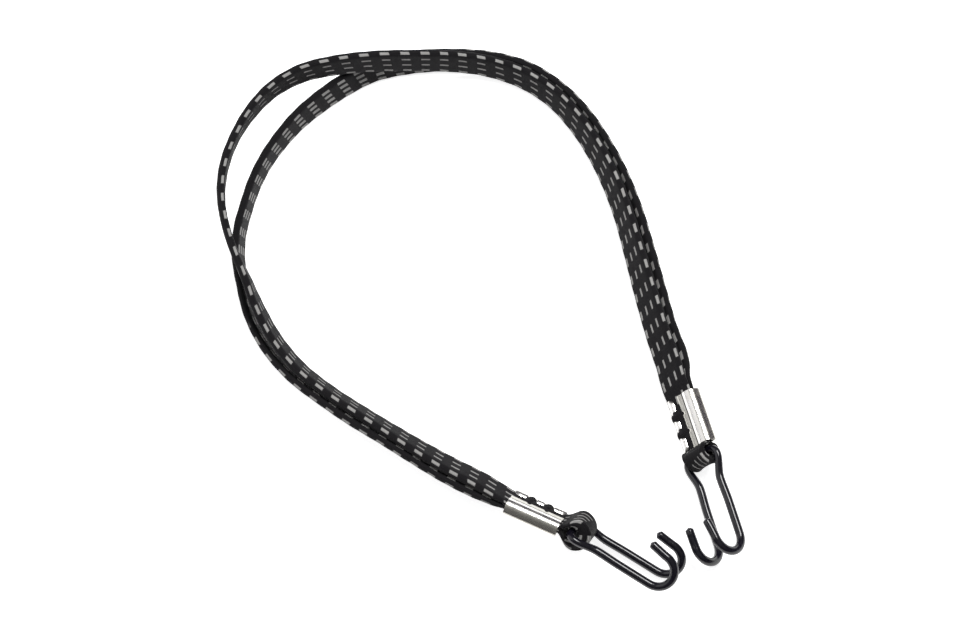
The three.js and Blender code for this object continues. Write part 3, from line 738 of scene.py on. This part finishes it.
def coating_material():
    """Dipped plastic: deep black, glossy, a little uneven, with faint rubbed patches."""
    material, tree, shader = new_material("dipped black plastic")
    place = add_node(tree, "ShaderNodeTexCoord").outputs["Object"]
    runs = add_node(tree, "ShaderNodeTexNoise", {"Vector": place, "Scale": 420.0, "Detail": 2.0})
    rubs = add_node(tree, "ShaderNodeTexNoise", {"Vector": place, "Scale": 900.0, "Detail": 5.0})
    colour = mix_colour(tree, ramp(tree, rubs.outputs[0], 0.45, 0.75), (0.0045, 0.0040, 0.0080, 1),
                        (0.0100, 0.0090, 0.0140, 1))
    tree.links.new(colour, shader.inputs["Base Color"])
    tree.links.new(ramp(tree, rubs.outputs[0], 0.35, 0.75, 0.13, 0.24), shader.inputs["Roughness"])
    shader.inputs["IOR"].default_value = 1.5
    bump = add_node(tree, "ShaderNodeBump", {"Height": runs.outputs[0], "Strength": 0.25, "Distance": 0.00015})
    tree.links.new(bump.outputs[0], shader.inputs["Normal"])
    return material


COATING = coating_material()


def wire_material():
    """Drawn steel wire inside the coating."""
    material, tree, shader = new_material("drawn steel wire")
    place = add_node(tree, "ShaderNodeTexCoord").outputs["Object"]
    scale = add_node(tree, "ShaderNodeTexNoise", {"Vector": place, "Scale": 1200.0, "Detail": 4.0})
    colour = mix_colour(tree, scale.outputs[0], (0.30, 0.29, 0.28, 1), (0.55, 0.55, 0.55, 1))
    tree.links.new(colour, shader.inputs["Base Color"])
    tree.links.new(ramp(tree, scale.outputs[0], 0.3, 0.7, 0.3, 0.5), shader.inputs["Roughness"])
    shader.inputs["Metallic"].default_value = 1.0
    return material


STEEL = wire_material()


def half_hook():
    """The wire's line from the middle of the crossbar to one prong tip: along, across, facing."""
    line = [(0.0, CROSSBAR_HALF * 0.2, 0.0), (0.0, CROSSBAR_HALF * 0.4, 0.0)]
    for i in range(7):
        angle = math.pi / 2 * i / 6
        line.append((CROSSBAR_CORNER * (1 - math.cos(angle)),
                     CROSSBAR_HALF - CROSSBAR_CORNER + CROSSBAR_CORNER * math.sin(angle), 0.0))
    for i in range(1, 11):
        share = i / 10
        eased = share * share * (3 - 2 * share)
        line.append((CROSSBAR_CORNER + (NECK_DISTANCE - CROSSBAR_CORNER) * share,
                     CROSSBAR_HALF + (NECK_HALF - CROSSBAR_HALF) * eased, 0.0))
    for i in range(1, 6):
        share = i / 5
        eased = share * share * (3 - 2 * share)
        line.append((NECK_DISTANCE + (PRONG_DISTANCE - NECK_DISTANCE) * share,
                     NECK_HALF + (PRONG_HALF - NECK_HALF) * eased, 0.0))
    for i in range(1, 5):
        line.append((PRONG_DISTANCE + (LEG_LENGTH - PRONG_DISTANCE) * i / 5, PRONG_HALF, 0.0))
    for i in range(25):
        angle = math.pi * i / 24
        inward = PRONG_DRAW_IN / 2 * max(0.0, i - 8) / 16
        line.append((LEG_LENGTH + BEND_RADIUS * math.sin(angle), PRONG_HALF - inward,
                     BEND_RADIUS * (1 - math.cos(angle))))
    for i in range(1, 5):
        share = i / 4
        line.append((LEG_LENGTH - PRONG_RETURN * share, PRONG_HALF - PRONG_DRAW_IN * (1 + share) / 2,
                     2 * BEND_RADIUS + PRONG_FLARE * share))
    return line


def wire_places(points, radii, tip):
    """Matrices along a bent wire, turned as little as possible from one to the next, rounded at the tips."""
    start = (points[0] - points[1]).normalized()
    finish = (points[-1] - points[-2]).normalized()
    sizes = list(radii)
    for i in range(1, 7):
        angle = math.pi / 2 * i / 6.3
        points = [points[0] + start * tip / 6, *points, points[-1] + finish * tip / 6]
        sizes = [radii[0] * math.cos(angle), *sizes, radii[-1] * math.cos(angle)]
    side = (points[len(points) // 2 + 1] - points[len(points) // 2]).orthogonal()
    matrices, distances, travelled = [], [], 0.0
    for i, point in enumerate(points):
        before, after = points[max(i - 1, 0)], points[min(i + 1, len(points) - 1)]
        ahead = (after - before).normalized()
        side = (side - ahead * side.dot(ahead)).normalized()
        travelled += (point - before).length
        matrix = Matrix.Identity(4)
        matrix.col[0].xyz = side * sizes[i]
        matrix.col[1].xyz = ahead.cross(side) * sizes[i]
        matrix.col[2].xyz = ahead * radii[0]
        matrix.translation = point
        matrices.append(matrix)
        distances.append(travelled)
    return matrices, distances


def make_hook(side, end, body):
    half = half_hook()
    line = [(a, -c, f) for a, c, f in half][::-1] + [(0.0, 0.0, 0.0)] + half
    points = [end.at(end.hook, *point) for point in line]
    circle = [(math.cos(2 * math.pi * i / 20), math.sin(2 * math.pi * i / 20)) for i in range(20)]
    to_neck = NECK_DISTANCE - CROSSBAR_CORNER
    fullness = [min(1.0, max(0.0, (along - CROSSBAR_CORNER) / to_neck)) ** 2 for along, across, facing in line]
    coated = [CROSSBAR_RADIUS + (COATED_RADIUS - CROSSBAR_RADIUS) * share for share in fullness]
    bare = [WIRE_RADIUS] * len(line)
    for piece, radii, tip, material, slot in (
        ("hook_coating", coated, TIP_REACH, COATING, "hook_coating"),
        ("hook_wire", bare, TIP_REACH / 3, STEEL, "hook_wire"),
    ):
        bent = sweep(f"{side}_{piece}_bent", circle, *wire_places(points, radii, tip))
        bent.data.materials.append(material)
        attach(bent, body)
        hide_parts(f"{side}_{piece}")


make_hook("left", LEFT_END, "left_hook")
make_hook("right", RIGHT_END, "right_hook")


# White table and studio light
# The cord lies on a plain white sheet under one large soft lamp behind it on the right; a big pale card
# stands on the left and gives the metal something bright to reflect.
TABLE_SIZE = 6.0


def table_material():
    material, tree, shader = new_material("white table")
    place = add_node(tree, "ShaderNodeTexCoord").outputs["Object"]
    grain = add_node(tree, "ShaderNodeTexNoise", {"Vector": place, "Scale": 10.0, "Detail": 2.0})
    tree.links.new(mix_colour(tree, grain.outputs[0], (0.84, 0.84, 0.84, 1), (0.86, 0.86, 0.86, 1)),
                   shader.inputs["Base Color"])
    shader.inputs["Roughness"].default_value = 0.9
    shader.inputs["Specular IOR Level"].default_value = 0.1
    rays = add_node(tree, "ShaderNodeLightPath")
    seen = math_node(tree, "MAXIMUM", rays.outputs["Is Camera Ray"],
                     math_node(tree, "MAXIMUM", rays.outputs["Is Glossy Ray"],
                               rays.outputs["Is Transmission Ray"]))
    glow = add_node(tree, "ShaderNodeEmission", {"Color": (1, 1, 1, 1), "Strength": math_node(
        tree, "MULTIPLY", seen, 0.8)})
    both = add_node(tree, "ShaderNodeAddShader", {0: shader.outputs[0], 1: glow.outputs[0]})
    tree.links.new(both.outputs[0], tree.nodes["Material Output"].inputs["Surface"])
    return material


table_shape = bmesh.new()
bmesh.ops.create_grid(table_shape, x_segments=1, y_segments=1, size=TABLE_SIZE / 2)
table = finish_mesh("table", table_shape)
table.data.materials.append(table_material())

world = bpy.data.worlds.new("studio")
world.use_nodes = True
bpy.context.scene.world = world
sky = world.node_tree
background = sky.nodes["Background"]
rays = add_node(sky, "ShaderNodeLightPath")
direction = add_node(sky, "ShaderNodeTexCoord").outputs["Generated"]
height = add_node(sky, "ShaderNodeSeparateXYZ", {"Vector": direction}).outputs["Z"]
room = ramp(sky, height, 0.15, 0.85)
room = mix_colour(sky, room, (0.060, 0.052, 0.080, 1), (0.24, 0.24, 0.23, 1))
white = mix_colour(sky, rays.outputs["Is Camera Ray"], room, (1, 1, 1, 1))
sky.links.new(white, background.inputs["Color"])


def area_lamp(name, place, target, width, depth, power):
    data = bpy.data.lights.new(name, "AREA")
    data.shape = "RECTANGLE"
    data.size = width
    data.size_y = depth
    data.energy = power
    lamp = bpy.data.objects.new(name, data)
    lamp.location = place
    lamp.rotation_euler = (Vector(target) - Vector(place)).to_track_quat("-Z", "Y").to_euler()
    bpy.context.scene.collection.objects.link(lamp)


area_lamp("overhead softbox", (0.28, 0.27, 1.14), (0, 0, 0), 0.6, 0.45, 13)
area_lamp("pale card", (-0.85, 0.15, 0.55), (0, 0.15, 0), 1.2, 1.35, 4.8)

bpy.context.scene.view_settings.view_transform = "Standard"
